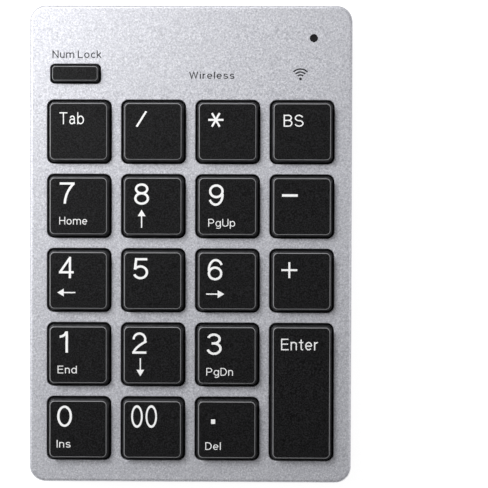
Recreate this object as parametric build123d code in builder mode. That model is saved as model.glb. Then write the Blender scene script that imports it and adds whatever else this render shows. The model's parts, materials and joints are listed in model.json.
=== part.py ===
"""Wireless numeric keypad with its USB receiver stowed in the back edge.

A wedge-shaped two-part case carries twenty keycaps over a rubber dome membrane, a controller board,
two AAA cells under a sliding door, a slide switch and a status light. Millimetres, +Z up, +X to the
right of the person typing, +Y away from them. The origin is under the middle of the case, on the
surface that the feet stand on.
"""
import os
from math import cos, hypot, radians, sin

from build123d import *

os.makedirs("parts", exist_ok=True)

# ---------------------------------------------------------------- driving dimensions
WIDTH = 82.6                # case, left to right
DEPTH = 122.0               # case, front to back
CORNER_R = 4.1              # case corners seen from above
TILT = 3.0                  # slope of the deck, degrees
DECK_Z = 15.2               # height of the deck over the origin
DECK_T = 1.8                # thickness of the deck
WALL = 1.6                  # case side walls
FLOOR_Z = 1.0               # underside of the case, the height of the feet
FLOOR_T = 1.5
PARTING_Z = 5.0             # where the two halves of the case meet
EDGE_R = 0.8                # rounded rim of the deck
SEAM = 0.25                 # shadow line between the halves
FUSE = 0.2                  # how far the features of one piece run into each other
CUT = 1.0                   # how far a cutting shape stands out of what it cuts

KEY_PITCH = 19.0
GRID_V = -9.3               # middle of the key grid along the deck
APERTURE = (16.5, 16.35)    # opening in the deck for one key
APERTURE_R = 1.75
KEY_GAP = 0.25              # between a keycap and its opening
CAP_TAPER = 0.75            # how far each side leans in from skirt to top
CAP_TOP = 2.6               # top of a keycap over the deck
CAP_SKIRT = -0.6            # lower edge of its skirt
CAP_CEILING = 1.4           # underside of the cap's top
CAP_WALL = 1.0
CAP_EDGE_R = 0.25
KEY_TRAVEL = 2.2
ENTER_V = -1.5 * KEY_PITCH
NUM_LOCK = (-29.5, 52.8)    # middle of the small key, from the middle of the grid
NUM_LOCK_APERTURE = (12.9, 5.0)
NUM_LOCK_TOP = 1.9
NUM_LOCK_TAPER = 0.5
NUM_LOCK_EDGE_R = 0.2
LED = (31.4, 62.0)          # middle of the status light, from the middle of the grid
LED_R = 1.0

STEM = 5.0                  # square plunger under each cap
STEM_CLEAR = 0.15
TUBE_WALL = 1.0
TUBE = STEM + 2 * (STEM_CLEAR + TUBE_WALL)
TUBE_TOP = -1.0
BARB = 0.5                  # how far the plunger's barbs reach out
FRAME_TOP = -3.4            # the key frame's plate
FRAME_T = 1.0
DOME_TOP = -5.1
MEMBRANE_TOP = -8.4         # three sheets on the backing plate
SHEET_T = 0.1
PLATE_T = 0.5
STACK_HALF = 38.3           # half width of the key frame
STACK_FRONT = -57.3
STACK_BACK = 36.0
TONGUE_RIGHT = -23.4        # the frame's tongue under the small key
TONGUE_BACK = 49.5

CELL_R = 5.15               # AAA cell
CELL_BODY = 43.5
CELL_NUB = 1.0
CELL_NUB_R = 1.9
CELL_Y = (43.7, 54.1)
CELL_Z = 7.95
CHAMBER_X = (-21.2, 29.0)   # inside of the battery chamber
CHAMBER_FRONT = 38.2
CHAMBER_TOP = 13.4
CHAMBER_WALL = 1.2
CHAMBER_END = 1.0           # its right-hand wall
DOOR_LEDGE = 0.8            # how far the floor reaches in under the door's edges
DOOR_GAP = 0.2
TAB_Y = (43.7, 50.7)        # tabs of the right-hand contacts, soldered to the board
TAB_HALF = 1.0

RECEIVER_X = -30.5          # middle of the stowed receiver
RECEIVER_Z = 5.0
HOUSING = (14.7, 6.4, 5.2)
SHELL = (12.0, 12.3, 4.5)   # USB-A plug, length outside its housing
SHELL_T = 0.3
SHELL_INSERT = 2.0

BOARD_Z = (4.2, 5.2)
BOARD_LEFT = -20.0
BOARD_RIGHT = 38.3
BOARD_FRONT = 14.0
BOARD_BACK = 36.2
ARM_LEFT = 30.5             # the board's arm beside the battery chamber
ARM_BACK = 53.4
CLAMP_Y = 32.0
CLAMP_SCREW_X = 9.0
SWITCH = (34.8, 38.4)       # middle of the slide switch

BOSS_R = 1.9
PILOT_R = 1.0
SHANK_R = 0.95
SCREW_HEAD_R = 1.9
SCREW_HEAD_T = 1.2
SCREW_LENGTH = 6.0
POST_WEB = 1.2              # plastic under each case screw's head
FOOT_R = 4.0
FOOT_RECESS = 0.3

WIRE_R = 0.6                # stabiliser wire of the tall key
WIRE_HINGE = (2.6, -2.3)    # its pivot, from the tall key's middle and the deck
WIRE_BAR = (-5.4, 0.55)     # its long bar at rest
WIRE_HALF = 11.0
WIRE_TIP = 2.6

# ---------------------------------------------------------------- places
SLOPE = radians(TILT)
DECK = Plane(origin=(0, 0, DECK_Z), x_dir=(1, 0, 0), z_dir=(0, -sin(SLOPE), cos(SLOPE)))
DECK_NORMAL = Axis((0, 0, 0), (0, -sin(SLOPE), cos(SLOPE)))

FLOOR_TOP = FLOOR_Z + FLOOR_T
BACK = DEPTH / 2
INNER_BACK = BACK - WALL
PLATE_BOTTOM = MEMBRANE_TOP - 3 * SHEET_T - PLATE_T
HOUSING_FRONT = BACK - HOUSING[1]
SHELL_TIP = HOUSING_FRONT - SHELL[1]

COLUMNS = [KEY_PITCH * step for step in (-1.5, -0.5, 0.5, 1.5)]
ROWS = [GRID_V + KEY_PITCH * step for step in (2, 1, 0, -1, -2)]
KEYS = {
    "key_tab": (0, 0), "key_divide": (1, 0), "key_multiply": (2, 0), "key_backspace": (3, 0),
    "key_7": (0, 1), "key_8": (1, 1), "key_9": (2, 1), "key_minus": (3, 1),
    "key_4": (0, 2), "key_5": (1, 2), "key_6": (2, 2), "key_plus": (3, 2),
    "key_1": (0, 3), "key_2": (1, 3), "key_3": (2, 3),
    "key_0": (0, 4), "key_00": (1, 4), "key_decimal": (2, 4),
}
KEY_PLACES = {name: (COLUMNS[column], ROWS[row]) for name, (column, row) in KEYS.items()}
ENTER = (COLUMNS[3], GRID_V + ENTER_V)
ENTER_APERTURE = (APERTURE[0], APERTURE[1] + KEY_PITCH)
NUM_LOCK_PLACE = (NUM_LOCK[0], NUM_LOCK[1] + GRID_V)
MAIN_PLACES = list(KEY_PLACES.values()) + [ENTER]


def deck(height):
    """The plane parallel to the deck at a height over it."""
    return DECK.offset(height)


def on_deck(u, v, height=0.0):
    """The point u to the right and v up the slope of the deck, at a height over it."""
    return DECK.from_local_coords(Vector(u, v, height))


def plan(inset=0.0, mode=Mode.ADD):
    """The case outline seen from above, drawn in the current sketch."""
    RectangleRounded(WIDTH - 2 * inset, DEPTH - 2 * inset, CORNER_R - inset, mode=mode)


def block(x, y, z, mode=Mode.ADD):
    """A box between two limits on each axis, in the current part."""
    middle = [(low + high) / 2 for low, high in (x, y, z)]
    with Locations(tuple(middle)):
        Box(x[1] - x[0], y[1] - y[0], z[1] - z[0], mode=mode)


def column(places, radius, low, high, mode=Mode.ADD):
    """Upright round columns between two heights, in the current part."""
    with BuildSketch(Plane.XY.offset(low)) as discs:
        with Locations(*places):
            Circle(radius)
    extrude(discs.sketch, amount=high - low, mode=mode)


def write(piece, name):
    """Name a finished piece and write it."""
    piece.part.label = name
    export_step(piece.part, f"parts/{name}.step")


def plan_point(u, v, height):
    """Where a point of the sloping stack is seen from above."""
    point = on_deck(u, v, height)
    return (point.X, point.Y)


# The case screws stand where four keys meet, in front of the small key and in the back right corner.
MID_STACK = (FRAME_TOP + PLATE_BOTTOM) / 2
GRID_SCREWS = [plan_point(side * KEY_PITCH, GRID_V + row * KEY_PITCH, MID_STACK)
               for side in (-1, 1) for row in (0.5, -1.5)]
TONGUE_SCREW = plan_point(NUM_LOCK[0], 38.95, MID_STACK)
CORNER_SCREW = (36.6, 56.3)
STACK_SCREWS = GRID_SCREWS + [TONGUE_SCREW]
CASE_SCREWS = STACK_SCREWS + [CORNER_SCREW]
CORNER_SCREW_Z = 9.0


def boss_end(place):
    """Height of the lower end of the top cover's screw boss at a place."""
    if place == CORNER_SCREW:
        return CORNER_SCREW_Z
    return on_deck(place[0], place[1], PLATE_BOTTOM).Z - 0.3


# The stack is also gripped between pegs of the top cover and posts of the bottom cover.
GRIP_PLACES = [(0, GRID_V + row * KEY_PITCH) for row in (1.5, -0.5, -1.5)]
GRIP_PLACES += [(side * KEY_PITCH, GRID_V - KEY_PITCH / 2) for side in (-1, 1)]
GRIP_R = 1.5

LED_POINT = on_deck(LED[0], LED[1] + GRID_V)


# ---------------------------------------------------------------- top cover
NUM_LOCK_APERTURE_R = 1.15


def apertures():
    """The openings for the keys, drawn in the current sketch."""
    with Locations(*KEY_PLACES.values()):
        RectangleRounded(*APERTURE, APERTURE_R)
    with Locations(ENTER):
        RectangleRounded(*ENTER_APERTURE, APERTURE_R)
    with Locations(NUM_LOCK_PLACE):
        RectangleRounded(*NUM_LOCK_APERTURE, NUM_LOCK_APERTURE_R)


with BuildPart() as cavity:
    with BuildSketch(Plane.XY.offset(PARTING_Z - CUT)):
        plan(WALL)
    extrude(amount=DECK_Z)
    split(bisect_by=deck(-DECK_T), keep=Keep.BOTTOM)

with BuildPart() as bosses:
    for place in CASE_SCREWS:
        column([place], BOSS_R, boss_end(place), DECK_Z + 3)
    split(bisect_by=deck(-DECK_T / 2), keep=Keep.BOTTOM)
    # the boss beside the tall key is flattened where the key goes down past it
    with BuildSketch(DECK):
        apertures()
    extrude(amount=CAP_SKIRT - KEY_TRAVEL - 0.4, mode=Mode.SUBTRACT)
    for place in CASE_SCREWS:
        pilot_end = boss_end(place) + SCREW_LENGTH - POST_WEB + 0.5
        column([place], PILOT_R, boss_end(place), pilot_end, Mode.SUBTRACT)

with BuildPart() as top_cover:
    with BuildSketch(Plane.XY.offset(PARTING_Z)):
        plan()
    extrude(amount=DECK_Z)
    split(bisect_by=DECK, keep=Keep.BOTTOM)
    fillet(top_cover.faces().sort_by(DECK_NORMAL)[-1].edges(), EDGE_R)
    chamfer(top_cover.faces().sort_by(Axis.Z)[0].edges(), SEAM)
    add(cavity.part, mode=Mode.SUBTRACT)
    with BuildSketch(DECK):
        apertures()
    extrude(amount=-DECK_T - CUT, mode=Mode.SUBTRACT)
    deck_face = top_cover.faces().sort_by(DECK_NORMAL)[-1]
    fillet([edge for wire in deck_face.inner_wires() for edge in wire.edges()], 0.2)
    column([(LED_POINT.X, LED_POINT.Y)], LED_R + 0.04, DECK_Z - 2, DECK_Z + 5, Mode.SUBTRACT)
    with BuildSketch(deck(FRAME_TOP)):
        with Locations(*GRIP_PLACES):
            Circle(GRIP_R)
    extrude(amount=-FRAME_TOP - DECK_T + 0.3)
    add(bosses.part)
    block((RECEIVER_X - HOUSING[0] / 2 - DOOR_GAP, RECEIVER_X + HOUSING[0] / 2 + DOOR_GAP),
          (INNER_BACK - 1, BACK + CUT), (PARTING_Z - 1, RECEIVER_Z + HOUSING[2] / 2 + DOOR_GAP),
          Mode.SUBTRACT)
write(top_cover, "top_cover")


# ---------------------------------------------------------------- bottom cover
CHAMBER_LEFT, CHAMBER_RIGHT = CHAMBER_X
OPENING_X = (CHAMBER_LEFT + DOOR_LEDGE, CHAMBER_RIGHT - DOOR_LEDGE)
LEDGE_Z = FLOOR_Z + 0.8
DOOR_FRONT = CHAMBER_FRONT + 0.4
DOOR_TONGUE = 1.2
LIP_T = 0.8
LIP_GAP = 0.1               # between the lip and the top cover's wall
LIP_TOP = 6.4
CHAMBER_ROOF = 1.2
POST_R = 2.0                # posts under the board
SCREW_POST_R = 2.6          # posts that the case screws go up through
BAY_X = (RECEIVER_X - HOUSING[0] / 2 - DOOR_GAP, RECEIVER_X + HOUSING[0] / 2 + DOOR_GAP)
BAY_FRONT = SHELL_TIP - 0.4
BAY_BACK = HOUSING_FRONT - 0.2
BAY_ROOF = 0.45
SHELL_GAP = 0.2
FEET = [(-34.0, -53.0), (34.0, -53.0), (-34.0, 47.0), (34.0, 48.5)]
BOARD_POSTS = [(-CLAMP_SCREW_X, CLAMP_Y), (CLAMP_SCREW_X, CLAMP_Y), (35.6, 24.0)]
BOARD_REST = [(-17.0, 17.0), (24.0, 17.0)]
BOARD_SCREW_R = 0.7
SWITCH_SLIDE = 2.5
SWITCH_GRIP = (1.6, 2.0)
SWITCH_BODY = (3.6, 7.4)
SWITCH_BODY_Z = (2.7, BOARD_Z[0])

with BuildPart() as stack_posts:
    column([plan_point(u, v, PLATE_BOTTOM) for u, v in GRIP_PLACES], GRIP_R + 0.5, FLOOR_TOP - 0.5, DECK_Z)
    split(bisect_by=deck(PLATE_BOTTOM), keep=Keep.BOTTOM)

with BuildPart() as bottom_cover:
    with BuildSketch(Plane.XY.offset(FLOOR_Z)):
        plan()
    extrude(amount=PARTING_Z - FLOOR_Z)
    fillet(bottom_cover.faces().sort_by(Axis.Z)[0].edges(), 1.0)
    chamfer(bottom_cover.faces().sort_by(Axis.Z)[-1].edges(), SEAM)
    with BuildSketch(Plane.XY.offset(FLOOR_TOP)):
        plan(WALL)
    extrude(amount=PARTING_Z, mode=Mode.SUBTRACT)
    # a lip stands inside the wall and reaches up into the top cover
    with BuildSketch(Plane.XY.offset(FLOOR_TOP - FUSE)):
        plan(WALL + LIP_GAP)
        plan(WALL + LIP_GAP + LIP_T, Mode.SUBTRACT)
    extrude(amount=LIP_TOP - FLOOR_TOP + FUSE)
    with BuildSketch(Plane.XY.offset(FLOOR_TOP - FUSE)):
        plan(WALL - FUSE)
        plan(WALL + FUSE, Mode.SUBTRACT)
    extrude(amount=PARTING_Z - SEAM - FLOOR_TOP)
    # battery chamber, open below and closed behind by the top cover's wall
    block((CHAMBER_LEFT - CHAMBER_WALL, CHAMBER_RIGHT + CHAMBER_END),
          (CHAMBER_FRONT - CHAMBER_WALL, INNER_BACK - DOOR_GAP),
          (FLOOR_TOP - FUSE, CHAMBER_TOP + CHAMBER_ROOF))
    block((CHAMBER_LEFT, CHAMBER_RIGHT), (CHAMBER_FRONT, BACK + CUT), (FLOOR_TOP, CHAMBER_TOP),
          Mode.SUBTRACT)
    block(OPENING_X, (DOOR_FRONT - DOOR_GAP, BACK + CUT), (0, FLOOR_TOP + 0.5), Mode.SUBTRACT)
    # the ledges the door slides on run out through the back wall
    block((CHAMBER_LEFT, CHAMBER_RIGHT), (CHAMBER_FRONT, BACK + CUT), (LEDGE_Z, FLOOR_TOP + 0.5),
          Mode.SUBTRACT)
    block((OPENING_X[0] + 6, OPENING_X[1] - 6), (DOOR_FRONT - DOOR_TONGUE - DOOR_GAP, DOOR_FRONT),
          (LEDGE_Z, FLOOR_TOP), Mode.SUBTRACT)
    block(OPENING_X, (INNER_BACK - 2, BACK + CUT), (0, LIP_TOP + 1), Mode.SUBTRACT)
    # the right contacts' tabs come out to the board
    for y in TAB_Y:
        block((CHAMBER_RIGHT - 0.5, CHAMBER_RIGHT + 2), (y - TAB_HALF - 0.2, y + TAB_HALF + 0.2),
              (BOARD_Z[1] - 0.1, 6.0), Mode.SUBTRACT)
    # bay of the stowed receiver, open to the back and under the housing
    block((BAY_X[0] - 0.6, CHAMBER_LEFT - 0.2), (BAY_FRONT - 0.6, BAY_BACK),
          (FLOOR_TOP - FUSE, RECEIVER_Z + SHELL[2] / 2 + SHELL_GAP + BAY_ROOF))
    block((RECEIVER_X - SHELL[0] / 2 - SHELL_GAP, RECEIVER_X + SHELL[0] / 2 + SHELL_GAP),
          (BAY_FRONT, BACK + CUT), (FLOOR_TOP, RECEIVER_Z + SHELL[2] / 2 + SHELL_GAP), Mode.SUBTRACT)
    block(BAY_X, (BAY_BACK, BACK + CUT), (0, LIP_TOP + 3), Mode.SUBTRACT)
    # posts that grip the key stack, carry the board and take the case screws
    add(stack_posts.part)
    column(BOARD_POSTS + BOARD_REST, POST_R, FLOOR_TOP - FUSE, BOARD_Z[0])
    column(BOARD_POSTS, BOARD_SCREW_R + 0.05, FLOOR_Z + 0.6, BOARD_Z[0], Mode.SUBTRACT)
    for place in CASE_SCREWS:
        column([place], SCREW_POST_R, FLOOR_TOP - FUSE, boss_end(place))
        column([place], SCREW_HEAD_R + 0.2, 0, boss_end(place) - POST_WEB, Mode.SUBTRACT)
        column([place], PILOT_R + 0.1, FLOOR_Z, boss_end(place), Mode.SUBTRACT)
    column(FEET, FOOT_R + 0.1, 0, FLOOR_Z + FOOT_RECESS, Mode.SUBTRACT)
    # well and slot of the power switch
    block((SWITCH[0] - 2.2, SWITCH[0] + 2.2), (SWITCH[1] - 4.1, SWITCH[1] + 4.1),
          (LEDGE_Z, FLOOR_TOP + 0.1), Mode.SUBTRACT)
    block((SWITCH[0] - SWITCH_GRIP[0] / 2 - 0.15, SWITCH[0] + SWITCH_GRIP[0] / 2 + 0.15),
          (SWITCH[1] - SWITCH_SLIDE / 2 - SWITCH_GRIP[1] / 2 - 0.1,
           SWITCH[1] + SWITCH_SLIDE / 2 + SWITCH_GRIP[1] / 2 + 0.1), (0, LEDGE_Z + 0.1), Mode.SUBTRACT)
write(bottom_cover, "bottom_cover")


# ---------------------------------------------------------------- battery door
DOOR_X = (OPENING_X[0] + DOOR_GAP, OPENING_X[1] - DOOR_GAP)
GRIP_GROOVES = 5

with BuildPart() as battery_door:
    block(DOOR_X, (DOOR_FRONT, BACK), (FLOOR_Z, FLOOR_TOP))
    block(DOOR_X, (INNER_BACK, BACK), (FLOOR_Z, PARTING_Z))
    fillet(battery_door.edges().filter_by(Axis.X).group_by(Axis.Y)[-1].sort_by(Axis.Z)[0], 1.0)
    block((CHAMBER_LEFT + 0.1, CHAMBER_RIGHT - 0.1), (DOOR_FRONT + 0.1, BACK),
          (LEDGE_Z + 0.1, FLOOR_TOP))
    block((CHAMBER_LEFT + 0.1, CHAMBER_RIGHT - 0.1), (INNER_BACK, BACK), (LEDGE_Z + 0.1, PARTING_Z))
    block((OPENING_X[0] + 6.3, OPENING_X[1] - 6.3), (DOOR_FRONT - DOOR_TONGUE, DOOR_FRONT + 1),
          (LEDGE_Z + 0.1, FLOOR_TOP - 0.1))
    with BuildSketch(Plane.XY.offset(FLOOR_Z)):
        with Locations(((DOOR_X[0] + DOOR_X[1]) / 2, BACK - 6.5)):
            with GridLocations(0, 1.4, 1, GRIP_GROOVES):
                SlotOverall(16, 0.7)
    extrude(amount=0.4, mode=Mode.SUBTRACT)
write(battery_door, "battery_door")


# ---------------------------------------------------------------- feet and screws
def foot(name, place):
    """A round rubber foot stuck in its recess."""
    with BuildPart() as pad:
        column([place], FOOT_R, 0, FLOOR_Z + FOOT_RECESS)
        fillet(pad.faces().sort_by(Axis.Z)[0].edges(), 0.35)
    write(pad, name)


for name, place in zip(("foot_front_left", "foot_front_right", "foot_back_left", "foot_back_right"), FEET):
    foot(name, place)


def screw(place, seat, head_r, head_t, shank_r, length, up=True):
    """A cross-head screw in the current part; its head bears on the height called seat."""
    way = 1 if up else -1
    low, high = sorted((seat, seat - way * head_t))
    column([place], head_r, low, high)
    low, high = sorted((seat, seat + way * length))
    column([place], shank_r, low, high)
    face = seat - way * head_t
    low, high = sorted((face, face + way * head_t * 0.55))
    for wide, deep in ((head_r * 1.3, head_r * 0.28), (head_r * 0.28, head_r * 1.3)):
        block((place[0] - wide / 2, place[0] + wide / 2), (place[1] - deep / 2, place[1] + deep / 2),
              (low, high), Mode.SUBTRACT)


with BuildPart() as case_screws:
    for place in CASE_SCREWS:
        screw(place, boss_end(place) - POST_WEB, SCREW_HEAD_R, SCREW_HEAD_T, SHANK_R, SCREW_LENGTH)
write(case_screws, "case_screws")


# ---------------------------------------------------------------- key frame
def stack_outline(inset):
    """The key stack seen square to the deck, with its tongue under the small key."""
    with Locations((0, (STACK_FRONT + STACK_BACK) / 2)):
        Rectangle(2 * (STACK_HALF - inset), STACK_BACK - STACK_FRONT - 2 * inset)
    left = -STACK_HALF + inset
    right = TONGUE_RIGHT - inset
    back = TONGUE_BACK - inset
    with Locations(((left + right) / 2, (back + STACK_BACK - 8) / 2)):
        Rectangle(right - left, back - STACK_BACK + 8)


def stack_holes(mode=Mode.SUBTRACT):
    """Clearance in the stack for the top cover's screw bosses, in the current part."""
    column(STACK_SCREWS, BOSS_R + 0.4, FLOOR_TOP, DECK_Z, mode)


NUM_STEM = 2.6              # square plunger of the small key
NUM_TUBE_TOP = -1.9
NUM_TUBE = 4.4
HOOK_T = 1.2

with BuildPart() as key_frame:
    with BuildSketch(deck(MEMBRANE_TOP)):
        stack_outline(0)
    extrude(amount=FRAME_TOP - MEMBRANE_TOP)
    with BuildSketch(deck(MEMBRANE_TOP)):
        stack_outline(1.2)
    extrude(amount=FRAME_TOP - FRAME_T - MEMBRANE_TOP, mode=Mode.SUBTRACT)
    with BuildSketch(deck(FRAME_TOP - FUSE)):
        with Locations(*MAIN_PLACES):
            RectangleRounded(TUBE, TUBE, 0.6)
    extrude(amount=TUBE_TOP - FRAME_TOP + FUSE)
    with BuildSketch(deck(FRAME_TOP - FUSE)):
        with Locations(NUM_LOCK_PLACE):
            RectangleRounded(NUM_TUBE, NUM_TUBE, 0.5)
    extrude(amount=NUM_TUBE_TOP - FRAME_TOP + FUSE)
    # lugs that the tall key's wire pivots in
    with BuildSketch(deck(FRAME_TOP - FUSE)):
        with Locations((ENTER[0] + WIRE_HINGE[0], ENTER[1])):
            with GridLocations(0, 2 * (WIRE_HALF + 1.3), 1, 2):
                Rectangle(2.6, HOOK_T)
    extrude(amount=WIRE_HINGE[1] + 1.2 - FRAME_TOP + FUSE)
    lug_back = Plane(origin=on_deck(ENTER[0] + WIRE_HINGE[0], ENTER[1], WIRE_HINGE[1]),
                     x_dir=(1, 0, 0), z_dir=DECK.y_dir)
    with BuildSketch(lug_back):
        Circle(WIRE_R + 0.1)
    extrude(amount=20, both=True, mode=Mode.SUBTRACT)
    with BuildSketch(deck(FRAME_TOP - FRAME_T - 1)):
        with Locations(*MAIN_PLACES):
            Rectangle(STEM + 2 * STEM_CLEAR, STEM + 2 * STEM_CLEAR)
        with Locations(NUM_LOCK_PLACE):
            Rectangle(NUM_STEM + 2 * STEM_CLEAR, NUM_STEM + 2 * STEM_CLEAR)
    extrude(amount=6, mode=Mode.SUBTRACT)
    stack_holes()
write(key_frame, "key_frame")


# ---------------------------------------------------------------- membrane and backing plate
TAIL_HALF = 7.0             # the bottom sheet's tail, which folds round the plate to the board


def sheet(top, thickness, inset):
    """One flat layer of the key stack."""
    with BuildPart() as layer:
        with BuildSketch(deck(top - thickness)):
            stack_outline(inset)
        extrude(amount=thickness)
        stack_holes()
    return layer


membrane_top_sheet = sheet(MEMBRANE_TOP, SHEET_T, 0.5)
write(membrane_top_sheet, "membrane_top_sheet")

with BuildPart() as membrane_spacer:
    add(sheet(MEMBRANE_TOP - SHEET_T, SHEET_T, 0.5).part)
    with BuildSketch(deck(MEMBRANE_TOP - 4 * SHEET_T)):
        with Locations(*MAIN_PLACES, NUM_LOCK_PLACE):
            Circle(2.5)
    extrude(amount=5 * SHEET_T, mode=Mode.SUBTRACT)
write(membrane_spacer, "membrane_spacer")

with BuildPart() as membrane_bottom_sheet:
    add(sheet(MEMBRANE_TOP - 2 * SHEET_T, SHEET_T, 0.5).part)
    upper = [on_deck(0, v, MEMBRANE_TOP - 2 * SHEET_T) for v in (STACK_BACK - 0.6, STACK_BACK + 0.35)]
    lower = [on_deck(0, v, MEMBRANE_TOP - 3 * SHEET_T) for v in (STACK_BACK - 0.6, STACK_BACK + 0.25)]
    with BuildSketch(Plane.YZ.offset(-TAIL_HALF)):
        with BuildLine():
            Polyline((upper[0].Y, upper[0].Z), (upper[1].Y, upper[1].Z), (upper[1].Y, BOARD_Z[1]),
                     (CLAMP_Y - 2, BOARD_Z[1]), (CLAMP_Y - 2, BOARD_Z[1] + SHEET_T),
                     (lower[1].Y, BOARD_Z[1] + SHEET_T), (lower[1].Y, lower[1].Z),
                     (lower[0].Y, lower[0].Z), close=True)
        make_face()
    extrude(amount=2 * TAIL_HALF)
write(membrane_bottom_sheet, "membrane_bottom_sheet")

backing_plate = sheet(PLATE_BOTTOM + PLATE_T, PLATE_T, 0.2)
write(backing_plate, "backing_plate")


# ---------------------------------------------------------------- rubber domes
DOME_R = 4.8
DOME_HEIGHT = DOME_TOP - MEMBRANE_TOP
NUM_DOME_R = 2.4
NUM_DOME_HEIGHT = 2.3


def dome(radius, height):
    """One dome standing on the origin, with a contact nub hanging inside."""
    with BuildPart() as shell:
        with BuildSketch(Plane.XZ):
            with BuildLine():
                Polyline((0, height), (radius * 0.42, height), (radius * 0.44, height * 0.72),
                         (radius * 0.86, 0.5), (radius, 0.4), (radius, 0), (radius * 0.8, 0),
                         (radius * 0.32, height * 0.66), (radius * 0.25, height * 0.42),
                         (0, height * 0.42), close=True)
            make_face()
        revolve(axis=Axis.Z)
    return shell.part


with BuildPart(deck(MEMBRANE_TOP)) as rubber_domes:
    with Locations(*MAIN_PLACES):
        add(dome(DOME_R, DOME_HEIGHT))
    with Locations(NUM_LOCK_PLACE):
        add(dome(NUM_DOME_R, NUM_DOME_HEIGHT))
write(rubber_domes, "rubber_domes")


# ---------------------------------------------------------------- keycaps
def rounded(height, place, size, inset, radius):
    """A rounded rectangle parallel to the deck, a distance inside the size of an opening."""
    with BuildSketch(deck(height)) as outline:
        with Locations(place):
            RectangleRounded(size[0] - 2 * inset, size[1] - 2 * inset, radius)
    return outline.sketch


def plunger(place, stem, bottom, top, barb):
    """The square stem of a cap, with a barb on two sides that stops it under the key frame."""
    with BuildSketch(deck(bottom)) as square:
        with Locations(place):
            Rectangle(stem, stem)
    extrude(square.sketch, amount=top - bottom)
    with BuildSketch(deck(bottom)) as catch:
        with Locations(place):
            Rectangle(stem + 2 * barb, stem * 0.6)
    extrude(catch.sketch, amount=FRAME_TOP - FRAME_T - bottom)


def keycap(place, aperture, homing_bar=False):
    """A hollow cap whose sides lean in, on its plunger."""
    with BuildPart() as cap:
        loft([rounded(CAP_SKIRT, place, aperture, KEY_GAP, APERTURE_R - KEY_GAP),
              rounded(CAP_TOP, place, aperture, KEY_GAP + CAP_TAPER, 1.2)])
        fillet(cap.faces().sort_by(DECK_NORMAL)[-1].edges(), CAP_EDGE_R)
        loft([rounded(CAP_SKIRT, place, aperture, KEY_GAP + CAP_WALL, 0.8),
              rounded(CAP_CEILING, place, aperture, KEY_GAP + CAP_WALL + CAP_TAPER * 0.6, 0.6)],
             mode=Mode.SUBTRACT)
        plunger(place, STEM, DOME_TOP, CAP_CEILING + FUSE, BARB)
        if homing_bar:
            with BuildSketch(deck(CAP_TOP - 0.1)) as bar:
                with Locations((place[0], place[1] - aperture[1] / 2 + 2.75)):
                    SlotOverall(3.4, 0.7)
            extrude(bar.sketch, amount=0.4)
    return cap


for name, place in KEY_PLACES.items():
    write(keycap(place, APERTURE, homing_bar=name == "key_5"), name)

# the tall key also carries two lugs for its stabiliser wire, slotted because the wire swings
LUG_V = 8.5
LUG_T = 1.2
SLOT_WIDTH = 2 * WIRE_R + 0.9
SLOT_HEIGHT = 2 * WIRE_R + 0.3

with BuildPart() as key_enter:
    add(keycap(ENTER, ENTER_APERTURE).part)
    with BuildSketch(deck(WIRE_BAR[1] - 1.25)):
        with Locations((ENTER[0] + WIRE_BAR[0] - 0.1, ENTER[1])):
            with GridLocations(0, 2 * LUG_V, 1, 2):
                Rectangle(3.2, LUG_T)
    extrude(amount=CAP_CEILING + FUSE - WIRE_BAR[1] + 1.25)
    slot_plane = Plane(origin=on_deck(ENTER[0] + WIRE_BAR[0] - 0.25, ENTER[1], WIRE_BAR[1]),
                       x_dir=(1, 0, 0), z_dir=-DECK.y_dir)
    with BuildSketch(slot_plane):
        RectangleRounded(SLOT_WIDTH, SLOT_HEIGHT, 0.5)
    extrude(amount=LUG_V + LUG_T, both=True, mode=Mode.SUBTRACT)
write(key_enter, "key_enter")

with BuildPart() as key_num_lock:
    loft([rounded(CAP_SKIRT, NUM_LOCK_PLACE, NUM_LOCK_APERTURE, 0.2, 0.95),
          rounded(NUM_LOCK_TOP, NUM_LOCK_PLACE, NUM_LOCK_APERTURE, 0.2 + NUM_LOCK_TAPER, 0.7)])
    fillet(key_num_lock.faces().sort_by(DECK_NORMAL)[-1].edges(), NUM_LOCK_EDGE_R)
    plunger(NUM_LOCK_PLACE, NUM_STEM, MEMBRANE_TOP + NUM_DOME_HEIGHT, CAP_SKIRT + 0.2, 0.45)
write(key_num_lock, "key_num_lock")


# ---------------------------------------------------------------- stabiliser wire of the tall key
wire_reach = hypot(WIRE_BAR[1] - WIRE_HINGE[1], WIRE_HINGE[0] - WIRE_BAR[0])
wire_origin = on_deck(ENTER[0] + WIRE_HINGE[0], ENTER[1], WIRE_HINGE[1])
wire_bar_point = on_deck(ENTER[0] + WIRE_BAR[0], ENTER[1], WIRE_BAR[1])
wire_x = (wire_bar_point - wire_origin).normalized()
wire_plane = Plane(origin=wire_origin, x_dir=wire_x, z_dir=wire_x.cross(DECK.y_dir))

with BuildPart() as enter_stabiliser_wire:
    with BuildLine(wire_plane) as wire_path:
        FilletPolyline((0, -WIRE_HALF - WIRE_TIP), (0, -WIRE_HALF), (wire_reach, -WIRE_HALF),
                       (wire_reach, WIRE_HALF), (0, WIRE_HALF), (0, WIRE_HALF + WIRE_TIP), radius=1.1)
    with BuildSketch(Plane(origin=wire_path.line @ 0, z_dir=wire_path.line % 0)):
        Circle(WIRE_R)
    sweep()
write(enter_stabiliser_wire, "enter_stabiliser_wire")


# ---------------------------------------------------------------- controller board
CHIP = (9.0, 22.5)
CHIP_HALF = 3.5
CHIP_PINS = 6               # on each side
CHIP_PIN_PITCH = 1.0
CHIP_PIN = (0.4, 1.7)

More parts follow.
